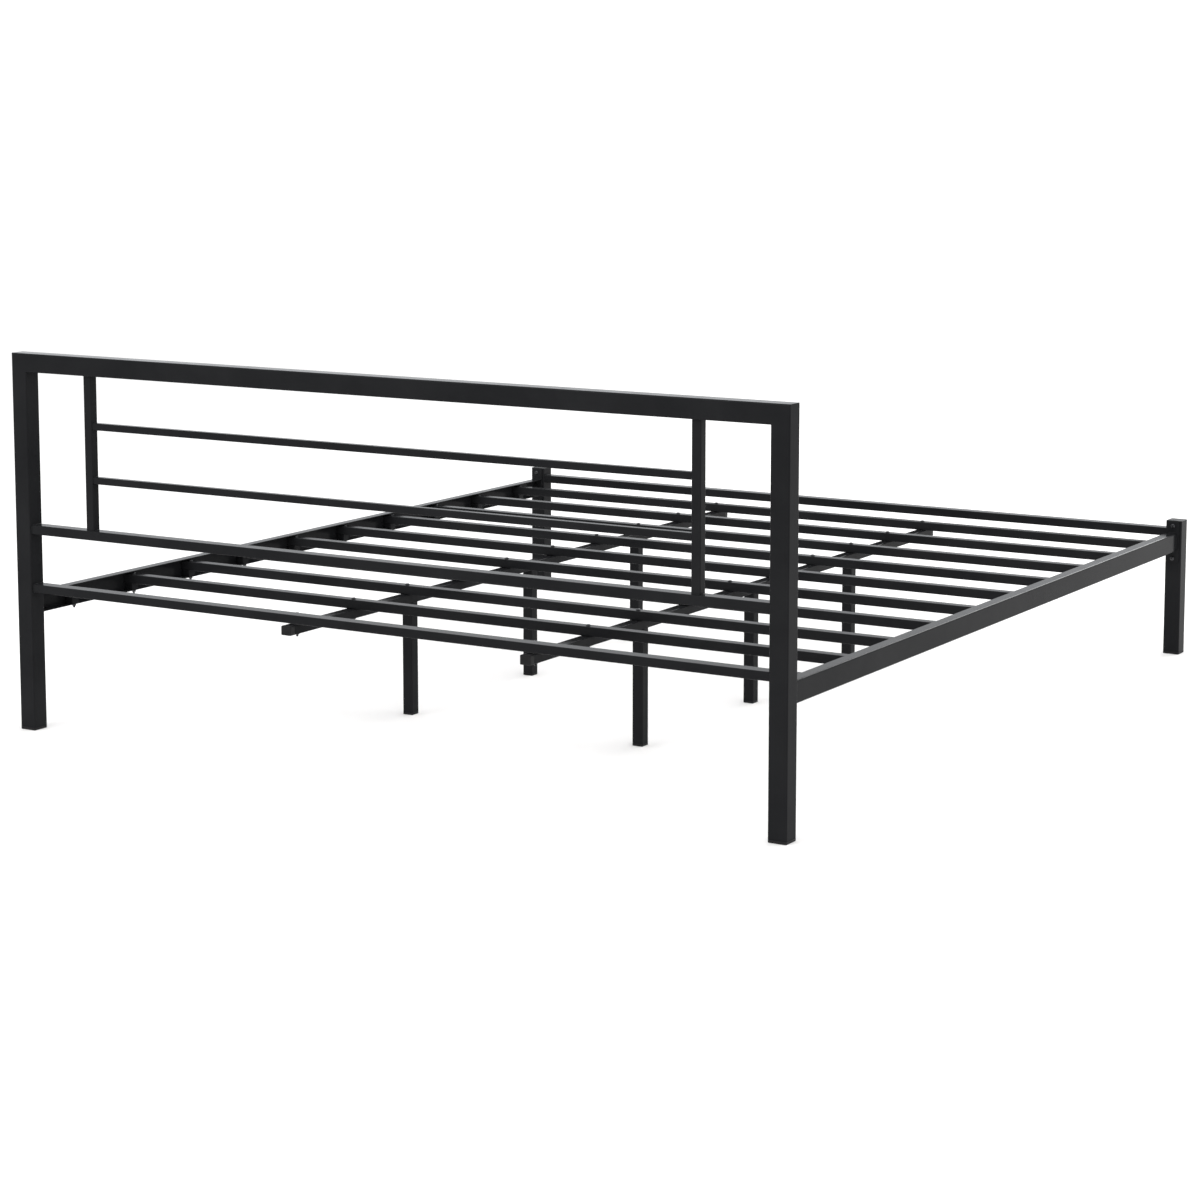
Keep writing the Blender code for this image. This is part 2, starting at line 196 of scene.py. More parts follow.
def build_dust_group() -> NodeTree:
    """Mask of faint specks and lint that settle on faces turned upwards.

    Returns:
        The group.
    """
    inputs = [("Scale", 260.0), ("Amount", 0.5)]
    tree = new_group("settled_dust", inputs, [("Mask", "NodeSocketFloat")])
    start, end = ends_of(tree)
    surface = add_node(tree, "ShaderNodeNewGeometry")
    split = add_node(tree, "ShaderNodeSeparateXYZ")
    upward = add_node(tree, "ShaderNodeMapRange", clamp=True, from_min=0.55, from_max=0.98)
    specks = add_node(tree, "ShaderNodeTexNoise", detail=6.0, roughness=0.7)
    sift = add_node(tree, "ShaderNodeMapRange", clamp=True, from_min=0.52, from_max=0.78)
    both = add_node(tree, "ShaderNodeMath", operation="MULTIPLY")
    scaled = add_node(tree, "ShaderNodeMath", operation="MULTIPLY")
    tree.links.new(surface.outputs["Normal"], split.inputs[0])
    tree.links.new(split.outputs["Z"], upward.inputs["Value"])
    tree.links.new(start.outputs["Vector"], specks.inputs["Vector"])
    tree.links.new(start.outputs["Scale"], specks.inputs["Scale"])
    tree.links.new(specks.outputs["Fac"], sift.inputs["Value"])
    tree.links.new(upward.outputs["Result"], both.inputs[0])
    tree.links.new(sift.outputs["Result"], both.inputs[1])
    tree.links.new(both.outputs[0], scaled.inputs[0])
    tree.links.new(start.outputs["Amount"], scaled.inputs[1])
    tree.links.new(scaled.outputs[0], end.inputs["Mask"])
    return tree


@dataclass(frozen=True)
class Skin:
    """Bumps of a finish's surface.

    Attributes:
        scale: dimples for each metre.
        strength: how strongly they turn the light.
        swell: share of the slow swell under them.
        depth: how deep they are, in metres.
    """

    scale: float
    strength: float
    swell: float = 0.35
    depth: float = 0.00012


@dataclass
class Effects:
    """The shared shader groups, built once.

    Attributes:
        peel: the dimpled skin.
        mottle: the patchy value.
        dust: the mask of settled dust.
    """

    peel: NodeTree = field(default_factory=build_peel_group)
    mottle: NodeTree = field(default_factory=build_mottle_group)
    dust: NodeTree = field(default_factory=build_dust_group)

    def place(self, tree: NodeTree, group: NodeTree, **values: float) -> Node:
        """Places a group in a material, on object coordinates.

        Args:
            tree: the material's tree.
            group: one of this object's groups.
            **values: input values by lower-case name.

        Returns:
            The group's node.
        """
        node = tree.nodes.new("ShaderNodeGroup")
        node.node_tree = group
        for key, value in values.items():
            node.inputs[key.title()].default_value = value
        place = tree.nodes.get("place") or add_node(tree, "ShaderNodeTexCoord", name="place")
        tree.links.new(place.outputs["Object"], node.inputs["Vector"])
        return node

    def vary_gloss(
        self, tree: NodeTree, shader: Node, scale: float, gloss: Tuple[float, float]
    ) -> None:
        """Lets a finish's roughness drift between two values.

        Args:
            tree: the material's tree.
            shader: its Principled shader.
            scale: patches for each metre.
            gloss: the smoothest and the roughest value.
        """
        patches = self.place(tree, self.mottle, scale=scale, low=gloss[0], high=gloss[1])
        tree.links.new(patches.outputs["Value"], shader.inputs["Roughness"])

    def dimple(self, tree: NodeTree, shader: Node, skin: Skin) -> None:
        """Gives a finish the dimples of its skin.

        Args:
            tree: the material's tree.
            shader: its Principled shader.
            skin: the dimples.
        """
        height = self.place(tree, self.peel, scale=skin.scale, swell=skin.swell)
        bump = add_node(tree, "ShaderNodeBump", strength=skin.strength, distance=skin.depth)
        tree.links.new(height.outputs["Height"], bump.inputs["Height"])
        tree.links.new(bump.outputs["Normal"], shader.inputs["Normal"])


def start_material(name: str, colour: Colour) -> Tuple[Material, NodeTree, Node]:
    """Makes a node material.

    Args:
        name: the material's name.
        colour: its colour in a plain view.

    Returns:
        The material, its tree and its Principled shader.
    """
    material = bpy.data.materials.new(name)
    material.use_nodes = True
    material.diffuse_color = colour
    tree = material.node_tree
    return material, tree, tree.nodes["Principled BSDF"]


def blend_colours(tree: NodeTree, share: NodeSocket, first: Colour, second: Colour) -> Node:
    """Blends two colours.

    Args:
        tree: the material's tree.
        share: the output that says how much of the second colour shows.
        first: the main colour.
        second: the colour of the patches.

    Returns:
        The Mix node; its sockets 6 and 7 take the colours and its output 2 gives the blend.
    """
    mix = add_node(tree, "ShaderNodeMix", data_type="RGBA")
    mix.inputs[6].default_value = first
    mix.inputs[7].default_value = second
    tree.links.new(share, mix.inputs["Factor"])
    return mix


@dataclass(frozen=True)
class PowderCoat:
    """Baked satin powder over steel.

    Attributes:
        name: the material's name.
        slot: a slot name; not used.
        colour: the coat's own colour.
        cloud: a slightly lighter colour that drifts through it.
        gloss: the smoothest and the roughest value of the skin.
        skin: the skin's dimples.
        dust: how much dust shows on top.
        index: refractive index of the skin, which sets how much it mirrors head-on.
        cloud_scale: patches of the lighter colour for each metre.
        gloss_scale: patches of roughness for each metre.
        dust_scale: specks of dust for each metre.
    """

    name: str
    slot: str
    colour: Colour
    cloud: Colour
    gloss: Tuple[float, float]
    skin: Skin
    dust: float
    index: float = 1.10
    cloud_scale: float = 5.5
    gloss_scale: float = 21.0
    dust_scale: float = 230.0

    def make(self, effects: Effects) -> Material:
        """Builds the material.

        Args:
            effects: the shared groups.

        Returns:
            The finished material.
        """
        material, tree, shader = start_material(self.name, self.colour)
        shader.inputs["IOR"].default_value = self.index
        drift = effects.place(tree, effects.mottle, scale=self.cloud_scale, low=0.0, high=1.0)
        coat = blend_colours(tree, drift.outputs["Value"], self.colour, self.cloud)
        dust = effects.place(tree, effects.dust, scale=self.dust_scale, amount=self.dust)
        dusty = blend_colours(tree, dust.outputs["Mask"], self.colour, DUST)
        tree.links.new(coat.outputs[2], dusty.inputs[6])
        tree.links.new(dusty.outputs[2], shader.inputs["Base Color"])
        effects.vary_gloss(tree, shader, self.gloss_scale, self.gloss)
        effects.dimple(tree, shader, self.skin)
        return material


@dataclass(frozen=True)
class MouldedPlastic:
    """Spark-textured plastic of a pressed-in plug or foot.

    Attributes:
        name: the material's name.
        slot: a slot name; not used.
        colour: the plastic's own colour.
        scuff: a paler colour where it has been rubbed.
        gloss: the smoothest and the roughest value of the skin.
        skin: the skin's dimples.
        index: refractive index of the skin.
        scuff_scale: scuffs for each metre.
        scuff_share: how much of the paler colour shows in the strongest scuff.
        gloss_scale: patches of roughness for each metre.
    """

    name: str
    slot: str
    colour: Colour
    scuff: Colour
    gloss: Tuple[float, float]
    skin: Skin
    index: float = 1.22
    scuff_scale: float = 46.0
    scuff_share: float = 0.55
    gloss_scale: float = 90.0

    def make(self, effects: Effects) -> Material:
        """Builds the material.

        Args:
            effects: the shared groups.

        Returns:
            The finished material.
        """
        material, tree, shader = start_material(self.name, self.colour)
        shader.inputs["IOR"].default_value = self.index
        rub = effects.place(
            tree, effects.mottle, scale=self.scuff_scale, low=0.0, high=self.scuff_share
        )
        mix = blend_colours(tree, rub.outputs["Value"], self.colour, self.scuff)
        tree.links.new(mix.outputs[2], shader.inputs["Base Color"])
        effects.vary_gloss(tree, shader, self.gloss_scale, self.gloss)
        effects.dimple(tree, shader, self.skin)
        return material


@dataclass(frozen=True)
class PlatedSteel:
    """Black zinc plating of the screws and nuts, with paler rubbed patches.

    Attributes:
        name: the material's name.
        slot: a slot name; not used.
        colour: the plating's own colour.
        rubbed: the paler colour of the patches.
        gloss: the smoothest and the roughest value of the skin.
        skin: the skin's dimples.
        metal: how metallic the plating is.
        rub_scale: rubbed patches for each metre.
        rub_share: how much of the paler colour shows in the most rubbed patch.
        gloss_scale: patches of roughness for each metre.
    """

    name: str
    slot: str
    colour: Colour
    rubbed: Colour
    gloss: Tuple[float, float]
    skin: Skin
    metal: float = 0.9
    rub_scale: float = 150.0
    rub_share: float = 0.7
    gloss_scale: float = 210.0

    def make(self, effects: Effects) -> Material:
        """Builds the material.

        Args:
            effects: the shared groups.

        Returns:
            The finished material.
        """
        material, tree, shader = start_material(self.name, self.colour)
        shader.inputs["Metallic"].default_value = self.metal
        rub = effects.place(tree, effects.mottle, scale=self.rub_scale, low=0.0, high=self.rub_share)
        mix = blend_colours(tree, rub.outputs["Value"], self.colour, self.rubbed)
        tree.links.new(mix.outputs[2], shader.inputs["Base Color"])
        effects.vary_gloss(tree, shader, self.gloss_scale, self.gloss)
        effects.dimple(tree, shader, self.skin)
        return material


FRAME_COAT = PowderCoat(
    "frame_coat", "frame_coat", BLACK, BLACK_DRIFT,
    gloss=(0.13, 0.19), skin=Skin(scale=620.0, strength=0.22), dust=0.04,
)
RAIL_COAT = PowderCoat(
    "rail_coat", "rail_coat", BLACK, BLACK_DRIFT,
    gloss=(0.14, 0.20), skin=Skin(scale=560.0, strength=0.24), dust=0.04,
)
SUPPORT_COAT = PowderCoat(
    "support_coat", "support_coat", BLACK, BLACK_DRIFT,
    gloss=(0.16, 0.22), skin=Skin(scale=600.0, strength=0.25), dust=0.04,
)
SLAT_COAT = PowderCoat(
    "slat_coat", "slat_coat", BLACK, BLACK_DRIFT,
    gloss=(0.16, 0.22), skin=Skin(scale=600.0, strength=0.25), dust=0.05,
)
PLUG_PLASTIC = MouldedPlastic(
    "plug_plastic", "plug_plastic",
    colour=(0.010, 0.010, 0.0105, 1.0), scuff=(0.022, 0.022, 0.022, 1.0),
    gloss=(0.42, 0.55), skin=Skin(scale=1500.0, strength=0.5, swell=0.1, depth=0.00008),
)
BOLT_STEEL = PlatedSteel(
    "bolt_steel", "bolt_steel",
    colour=(0.030, 0.030, 0.032, 1.0), rubbed=(0.085, 0.085, 0.088, 1.0),
    gloss=(0.16, 0.27), skin=Skin(scale=2200.0, strength=0.35, swell=0.2, depth=0.00005),
)


# Shaping.

SAME_WAY = 0.99  # cosine above which two directions count as one
NEAR = 1e-5  # metres within which a point lies on a plane or a circle
MERGE = 1e-6  # metres within which vertices are one
CREASE = 35.0  # degrees above which an edge stays sharp
FLAT_FACE_WEIGHT = 80  # how strongly flat faces set the shading beside a rounding


def block(low: Vector, high: Vector) -> BMesh:
    """Starts a bmesh as a box.

    Args:
        low: its lowest corner.
        high: its highest corner.

    Returns:
        The box.
    """
    bm = bmesh.new()
    bmesh.ops.create_cube(bm, size=1.0)
    bmesh.ops.scale(bm, verts=bm.verts[:], vec=high - low)
    bmesh.ops.translate(bm, verts=bm.verts[:], vec=(low + high) / 2)
    bm.normal_update()
    return bm


def facing(bm: BMesh, direction: Vector) -> List[BMFace]:
    """Returns the faces turned the given way."""
    bm.normal_update()
    return [face for face in bm.faces if face.normal.dot(direction) > SAME_WAY]


def end_faces(bm: BMesh, axis: Axis) -> List[BMFace]:
    """Returns the faces turned up or down an axis."""
    return facing(bm, unit(axis)) + facing(bm, unit(axis, -1.0))


def edges_along(bm: BMesh, axis: Axis) -> List[BMEdge]:
    """Finds the edges that run along an axis.

    Args:
        bm: the shape.
        axis: the axis.

    Returns:
        Those edges.
    """
    found = []
    for edge in bm.edges:
        way = edge.verts[1].co - edge.verts[0].co
        if abs(way[axis.value]) > SAME_WAY * way.length > 0:
            found.append(edge)
    return found


def round_off(bm: BMesh, edges: Iterable[BMEdge], radius: float, segments: int) -> None:
    """Rounds edges.

    Args:
        bm: the shape.
        edges: the edges to round.
        radius: how far the rounding reaches from each edge.
        segments: faces across the rounding.
    """
    bmesh.ops.bevel(
        bm, geom=list(edges), offset=radius, offset_type="OFFSET", segments=segments,
        profile=0.5, affect="EDGES", material=-1, clamp_overlap=True,
    )


def unit(axis: Axis, sign: float = 1.0) -> Vector:
    """Makes a unit vector.

    Args:
        axis: the axis that it lies on.
        sign: 1 to point up the axis, -1 to point down it.

    Returns:
        The vector.
    """
    way = Vector((0, 0, 0))
    way[axis.value] = sign
    return way


def join(bm: BMesh, other: BMesh) -> None:
    """Adds one bmesh to another.

    Args:
        bm: the bmesh that grows.
        other: the bmesh that is added; it is freed.
    """
    mesh = bpy.data.meshes.new("joined")
    other.to_mesh(mesh)
    other.free()
    bm.from_mesh(mesh)
    bpy.data.meshes.remove(mesh)


Finish = Union[PowderCoat, MouldedPlastic, PlatedSteel]


@dataclass
class Shop:
    """Everything that a piece needs to be dressed: the finishes, made once each.

    Attributes:
        effects: the shared shader groups.
        made: the materials made so far, by name.
    """

    effects: Effects = field(default_factory=Effects)
    made: Dict[str, Material] = field(default_factory=dict)

    def dress(self, finish: Finish) -> Material:
        """Returns the material of a finish, building it the first time.

        Args:
            finish: a finish such as FRAME_COAT.

        Returns:
            Its material.
        """
        if finish.name not in self.made:
            self.made[finish.name] = finish.make(self.effects)
        return self.made[finish.name]

    def finish(
        self,
        bm: BMesh,
        name: str,
        finish: Finish,
        stands_for: Sequence[str] = (),
        crease: float = CREASE,
    ) -> Object:
        """Turns a bmesh into a piece that rides on the frame, dressed in a finish.

        Args:
            bm: the shape, in world coordinates; it is freed.
            name: the piece's name.
            finish: its finish.
            stands_for: nodes that the piece replaces.
            crease: edges sharper than this many degrees stay sharp.

        Returns:
            The new object.
        """
        bmesh.ops.remove_doubles(bm, verts=bm.verts[:], dist=MERGE)
        bmesh.ops.recalc_face_normals(bm, faces=bm.faces[:])
        mesh = bpy.data.meshes.new(name)
        bm.to_mesh(mesh)
        bm.free()
        mesh.shade_smooth()
        mesh.set_sharp_from_angle(angle=math.radians(crease))
        mesh.materials.append(self.dress(finish))
        piece = bpy.data.objects.new(name, mesh)
        bpy.context.scene.collection.objects.link(piece)
        flatten = piece.modifiers.new("even_shading", "WEIGHTED_NORMAL")
        flatten.keep_sharp = True
        flatten.weight = FLAT_FACE_WEIGHT
        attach(piece, BODY)
        if stands_for:
            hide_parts(*stands_for)
        nodes = ", ".join(stands_for) or "no node"
        LOG.info("%s: %d faces, for %s", name, len(mesh.polygons), nodes)
        return piece


@dataclass
class Piece:
    """Piece that stands for one node, in that node's place.

    Attributes:
        node: the node that it stands for.
        finish: what it is dressed in.
        crease: edges sharper than this many degrees stay sharp.
    """

    node: str
    finish: Finish
    crease: ClassVar[float] = CREASE

    def box(self) -> Tuple[Vector, Vector]:
        """Returns the lowest and the highest corner of the node."""
        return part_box(self.node)

    def shape(self) -> BMesh:
        """Returns the piece's shape, which each kind of piece builds in its own way."""
        raise NotImplementedError

    def build(self, shop: Shop) -> Object:
        """Builds and dresses the piece.

        Args:
            shop: the finishes.

        Returns:
            The new object.
        """
        return shop.finish(self.shape(), self.node + "_fine", self.finish, [self.node], self.crease)


# Tubes.


@dataclass(frozen=True)
class Section:
    """Cross-section of a rectangular tube, apart from its outside size.

    Attributes:
        corner: outside corner radius.
        wall: wall thickness.
        segments: faces across each rounded corner.
    """

    corner: float = 0.002
    wall: float = 0.0012
    segments: int = 8

    def extrude(self, low: Vector, high: Vector, axis: Axis) -> BMesh:
        """Builds a tube that is open at both ends.

        Args:
            low: lowest corner of its outside.
            high: highest corner of its outside.
            axis: the way that it runs.

        Returns:
            The tube.
        """
        bm = block(low, high)
        bmesh.ops.delete(bm, geom=end_faces(bm, axis), context="FACES_ONLY")
        round_off(bm, edges_along(bm, axis), self.corner, self.segments)
        bmesh.ops.recalc_face_normals(bm, faces=bm.faces[:])
        bmesh.ops.solidify(bm, geom=bm.faces[:], thickness=self.wall)
        return bm


BAR_SECTION = Section()
POST_SECTION = Section(corner=0.003, wall=0.0015)
BEAM_SECTION = Section(corner=0.002, wall=0.0015)


@dataclass
class Tube(Piece):
    """Welded rectangular tube that fills the box of its node.

    Attributes:
        axis: the way that it runs.
        section: its corners and wall.
        tilt: how far each end leans along another axis, as (end sign, axis, slope) triples.
        reach: how much further the far end goes, to close a welded joint.
    """

    axis: Axis
    section: Section = BAR_SECTION
    tilt: Tuple[Tuple[int, Axis, float], ...] = ()
    reach: float = 0.0

    def shape(self) -> BMesh:
        """Builds the tube.

        Returns:
            Its shape.
        """
        low, high = self.box()
        high = high + unit(self.axis) * self.reach
        bm = self.section.extrude(low, high, self.axis)
        self.lean(bm, low, high)
        return bm

    def lean(self, bm: BMesh, low: Vector, high: Vector) -> None:
        """Cuts each tilted end to its slope, measured inwards from the end plane.

        Args:
            bm: the tube.
            low: its lowest corner.
            high: its highest corner.
        """
        run = self.axis.value
        for sign, across, slope in self.tilt:
            plane = high[run] if sign > 0 else low[run]
            from_side = high[across.value] if slope > 0 else low[across.value]
            for vert in bm.verts:
                if abs(vert.co[run] - plane) < NEAR:
                    vert.co[run] -= sign * abs((from_side - vert.co[across.value]) * slope)


@dataclass
class Channel(Piece):
    """Side rail folded from sheet: a web outside and two flanges that point inwards.

    Attributes:
        side: the side of the bed, which its web faces.
        fold: outside radius of its two folds.
        sheet: thickness of the sheet.
        segments: faces across each fold.
    """

    side: Side
    fold: float = 0.0035
    sheet: float = 0.002
    segments: int = 8

    def shape(self) -> BMesh:
        """Builds the rail.

        Returns:
            Its shape.
        """
        low, high = self.box()
        bm = block(low, high)
        inward = unit(Axis.X, -self.side.value)
        bmesh.ops.delete(bm, geom=facing(bm, inward) + end_faces(bm, Axis.Y), context="FACES")
        outer_x = high.x if self.side is Side.RIGHT else low.x
        long_edges = edges_along(bm, Axis.Y)
        folds = [edge for edge in long_edges if abs(edge.verts[0].co.x - outer_x) < NEAR]
        round_off(bm, folds, self.fold, self.segments)
        self.turn_out(bm, (low + high) / 2)
        bmesh.ops.solidify(bm, geom=bm.faces[:], thickness=self.sheet)
        return bm

    def turn_out(self, bm: BMesh, centre: Vector) -> None:
        """Points the open shell's faces away from the rail's middle line.

        Args:
            bm: the shell.
            centre: a point on that line.
        """
        bm.normal_update()
        for face in bm.faces:
            away = face.calc_center_median() - centre
            away.y = 0
            if away.dot(face.normal) < 0:
                face.normal_flip()


@dataclass
class Slat(Piece):
    """Cross slat: a tube with a short upright stub of tube under each end.

    Attributes:
        height: height of the slat's tube.
        section: corners and wall of that tube.
        stub_section: corners and wall of the stubs.
        stub_length: size of a stub along the slat.
        stub_inset: how much narrower than the slat a stub is on each side.
        sink: how far a stub runs into the slat.
    """

    height: float = 0.020
    section: Section = Section(segments=6)
    stub_section: Section = Section(corner=0.0018, segments=5)
    stub_length: float = 0.022
    stub_inset: float = 0.0022
    sink: float = 0.0004

    def shape(self) -> BMesh:
        """Builds the slat with its two stubs.

        Returns:
            Its shape.
        """
        low, high = self.box()
        bm = self.section.extrude(Vector((low.x, low.y, high.z - self.height)), high, Axis.X)
        for side in Side:
            self.join_stub(bm, low, high, side)
        return bm

    def join_stub(self, bm: BMesh, low: Vector, high: Vector, side: Side) -> None:
        """Adds the stub under one end to the slat's bmesh.

        Args:
            bm: the slat.
            low: the slat's lowest corner, at the stub's bottom.
            high: its highest corner.
            side: the end that gets the stub.
        """
        end_x = high.x if side is Side.RIGHT else low.x
        inner_x = end_x - side.value * self.stub_length
        top = high.z - self.height + self.sink
        stub_low = Vector((min(end_x, inner_x), low.y + self.stub_inset, low.z))
        stub_high = Vector((max(end_x, inner_x), high.y - self.stub_inset, top))
        join(bm, self.stub_section.extrude(stub_low, stub_high, Axis.Z))


# Plugs and plates.


class Facing(Enum):
    """Way that a plug's outer face looks."""

    UP = (0, 0, 1)
    DOWN = (0, 0, -1)
    HEAD = (0, 1, 0)
    FOOT = (0, -1, 0)

    @property
    def vector(self) -> Vector:
        """The direction as a vector."""
        return Vector(self.value)

    @property
    def axis(self) -> Axis:
        """The axis that the direction lies on."""
        return Axis.Z if self.value[2] else Axis.Y


@dataclass(frozen=True)
class Mould:
    """Sizes of a plug, apart from its outline.

    Attributes:
        rim: thickness that stands outside the tube.
        corner: radius of the corners that follow the tube.
        edge: radius round the outer face.
        wall: wall of the tube that the skirt fits in.
        skirt: how far the skirt goes into the tube.
        corner_segments: faces across each corner.
        edge_segments: faces across the rounding of the outer face.
    """

    rim: float
    corner: float
    edge: float
    wall: float = 0.0018
    skirt: float = 0.005
    corner_segments: int = 7
    edge_segments: int = 5


@dataclass
class Plug(Piece):
    """Plastic plug pressed into a tube's end, with a soft outer edge.

    Attributes:
        facing: the way that its outer face looks.
        mould: its sizes.
    """

    facing: Facing
    mould: Mould
    crease: ClassVar[float] = 50.0

    def shape(self) -> BMesh:
        """Builds the plug.

        Returns:
            Its shape.
        """
        low, high = self.box()
        out = self.facing.vector
        axis = self.facing.axis
        outer = high[axis.value] if sum(out) > 0 else low[axis.value]
        rim_low, rim_high = low.copy(), high.copy()
        inner = outer - sum(out) * self.mould.rim
        rim_low[axis.value] = min(outer, inner)
        rim_high[axis.value] = max(outer, inner)
        bm = block(rim_low, rim_high)
        round_off(bm, edges_along(bm, axis), self.mould.corner, self.mould.corner_segments)
        face_edges = {edge for face in facing(bm, out) for edge in face.edges}
        round_off(bm, face_edges, self.mould.edge, self.mould.edge_segments)
        self.add_skirt(bm, out)
        return bm

    def add_skirt(self, bm: BMesh, out: Vector) -> None:
        """Extrudes a short skirt from the rim's back face into the tube.

        Args:
            bm: the rim.
            out: the way that the plug's outer face looks.
        """
        back = max(facing(bm, -out), key=lambda item: item.calc_area())
        bmesh.ops.inset_region(bm, faces=[back], thickness=self.mould.wall)
        grown = bmesh.ops.extrude_face_region(bm, geom=[back])["geom"]
        moved = [item for item in grown if isinstance(item, BMVert)]
        bmesh.ops.translate(bm, verts=moved, vec=-out * self.mould.skirt)
        bmesh.ops.delete(bm, geom=[back], context="FACES_ONLY")


@dataclass
class EndPlate(Piece):
    """Punched plate welded to a side rail's end, with softened edges.

    Attributes:
        corner: radius of its four corners.
        corner_segments: faces across each corner.
        edge: radius of its outline.
        edge_segments: faces across that.
    """

    corner: float = 0.003
    corner_segments: int = 6
    edge: float = 0.0005
    edge_segments: int = 3

    def shape(self) -> BMesh:
        """Builds the plate.

        Returns:
            Its shape.
        """
        bm = block(*self.box())
        round_off(bm, edges_along(bm, Axis.Y), self.corner, self.corner_segments)
        outline = {edge for face in end_faces(bm, Axis.Y) for edge in face.edges}
        round_off(bm, outline, self.edge, self.edge_segments)
        return bm


# Fasteners.

SCREW_CREASE = 40.0  # degrees above which a screw's edge stays sharp
NUT_CREASE = 30.0
RAIL_SCREW_LENGTH = 0.0452
BEAM_SCREW_LENGTH = 0.0482


def spun(profile: Sequence[Tuple[float, float]], steps: int) -> BMesh:
    """Turns an outline of (radius, height) points once round Z.

    Args:
        profile: the outline, from one end to the other.
        steps: flats round the turn.

    Returns:
        The turned shape, with its poles closed.
    """
    bm = bmesh.new()
    verts = [bm.verts.new((radius, 0, height)) for radius, height in profile]
    edges = [bm.edges.new(pair) for pair in zip(verts, verts[1:])]
    bmesh.ops.spin(
        bm, geom=verts + edges, cent=(0, 0, 0), axis=(0, 0, 1), angle=2 * math.pi,
        steps=steps, use_merge=True, use_duplicate=False,
    )
    bmesh.ops.remove_doubles(bm, verts=bm.verts[:], dist=MERGE)
    return bm


@dataclass(frozen=True)
class ButtonBolt:
    """Button-head screw with a hexagon socket and a threaded tip. Its head stands on z = 0.

    Attributes:
        head_radius: radius of the head.
        head_height: height of the head.
        shank: thread radius.
        length: from under the head to the tip.
        thread: length of the tip that shows its thread.
        pitch: distance from one turn of the thread to the next.
        socket: width of the socket across its flats.
        socket_depth: depth of the socket.
        steps: flats round the head, a multiple of 12.
        crown_steps: faces from the head's flat top to its rim.
        crown_flat: radius of the flat top, in socket half-widths.
        rim_share: share of the head's height that its upright rim takes.
        break_edge: chamfer under the rim.
        tip: length of the point.
        tip_share: radius of the point, as a share of the thread's.
        root_share: radius at the thread's root, as a share of the thread's.
    """

    head_radius: float = 0.0055
    head_height: float = 0.0033
    shank: float = 0.003
    length: float = 0.020
    thread: float = 0.0
    pitch: float = 0.001
    socket: float = 0.004
    socket_depth: float = 0.002
    steps: int = 24
    crown_steps: int = 6
    crown_flat: float = 1.35
    rim_share: float = 0.28
    break_edge: float = 0.0003
    tip: float = 0.0008
    tip_share: float = 0.78
    root_share: float = 0.86

    def outline(self) -> List[Tuple[float, float]]:
        """Draws the outline from the socket's floor over the head and down to the tip.

        Returns:
            Radius and height of each point.
        """
        mouth = self.socket / 2
        floor = self.head_height - self.socket_depth
        points = [(0.0, floor), (mouth, floor), (mouth, self.head_height)]
        flat = mouth * self.crown_flat
        for step in range(self.crown_steps + 1):
            angle = math.pi / 2 * step / self.crown_steps
            radius = flat + (self.head_radius - flat) * math.sin(angle)
            rise = self.rim_share + (1 - self.rim_share) * math.cos(angle)
            points.append((radius, self.head_height * rise))
        points.append((self.head_radius, self.break_edge))
        points.append((self.head_radius - self.break_edge, 0.0))
        points.append((self.shank, 0.0))
        plain = self.length - self.thread - self.tip
        for turn in range(int(self.thread / self.pitch)):
            top = -plain - turn * self.pitch
            points.append((self.shank, top))
            points.append((self.shank * self.root_share, top - self.pitch / 2))
        points.append((self.shank, -self.length + self.tip))
        points.append((self.shank * self.tip_share, -self.length))
        points.append((0.0, -self.length))
        return points

    def shape(self) -> BMesh:
        """Builds the screw, with its round socket pulled out to a hexagon.

        Returns:
            The screw.
        """
        bm = spun(self.outline(), self.steps)
        mouth = self.socket / 2
        floor = self.head_height - self.socket_depth
        for vert in bm.verts:
            if abs(vert.co.xy.length - mouth) < NEAR and vert.co.z > floor - NEAR:
                angle = math.atan2(vert.co.y, vert.co.x)
                turn = (angle + math.pi / 6) % (math.pi / 3) - math.pi / 6
                vert.co.xy *= 1.0 / math.cos(turn)
        return bm


@dataclass(frozen=True)
class HexNut:
    """Hexagon nut with chamfered corners. It hangs down from z = 0.

    Attributes:
        flats: width across the flats.
        height: its height.
        chamfer: radius of its upper and lower edges.
        chamfer_segments: faces across that.
    """

    flats: float = 0.008
    height: float = 0.0038
    chamfer: float = 0.0006
    chamfer_segments: int = 2

    def shape(self) -> BMesh:
        """Builds the nut, whose bore the screw fills, with softened edges.

        Returns:
            The nut.
        """
        bm = bmesh.new()
        corner = self.flats / math.sqrt(3)
        bmesh.ops.create_cone(
            bm, cap_ends=True, segments=6, radius1=corner, radius2=corner, depth=self.height
        )
        bmesh.ops.translate(bm, verts=bm.verts[:], vec=(0, 0, -self.height / 2))
        caps = {edge for face in end_faces(bm, Axis.Z) for edge in face.edges}
        round_off(bm, caps, self.chamfer, self.chamfer_segments)
        return bm


@dataclass
class CornerBolt(Piece):
    """Screw that holds an end plate to a post.

    Attributes:
        end: the end of the bed, which its shank points to.
        screw: its sizes.
    """

    end: End
    screw: ButtonBolt = ButtonBolt(steps=36)
    crease: ClassVar[float] = SCREW_CREASE

    def shape(self) -> BMesh:
        """Builds the screw.

        Returns:
            Its shape.
        """
        low, high = self.box()
        centre = (low + high) / 2
        head = low.y if self.end is End.HEAD else high.y
        seat = head + self.end.value * self.screw.head_height
        bm = self.screw.shape()
        turn = Matrix.Rotation(self.end.value * math.pi / 2, 4, "X")
        place = Matrix.Translation((centre.x, seat, centre.z))
        bmesh.ops.transform(bm, verts=bm.verts[:], matrix=place @ turn)
        return bm


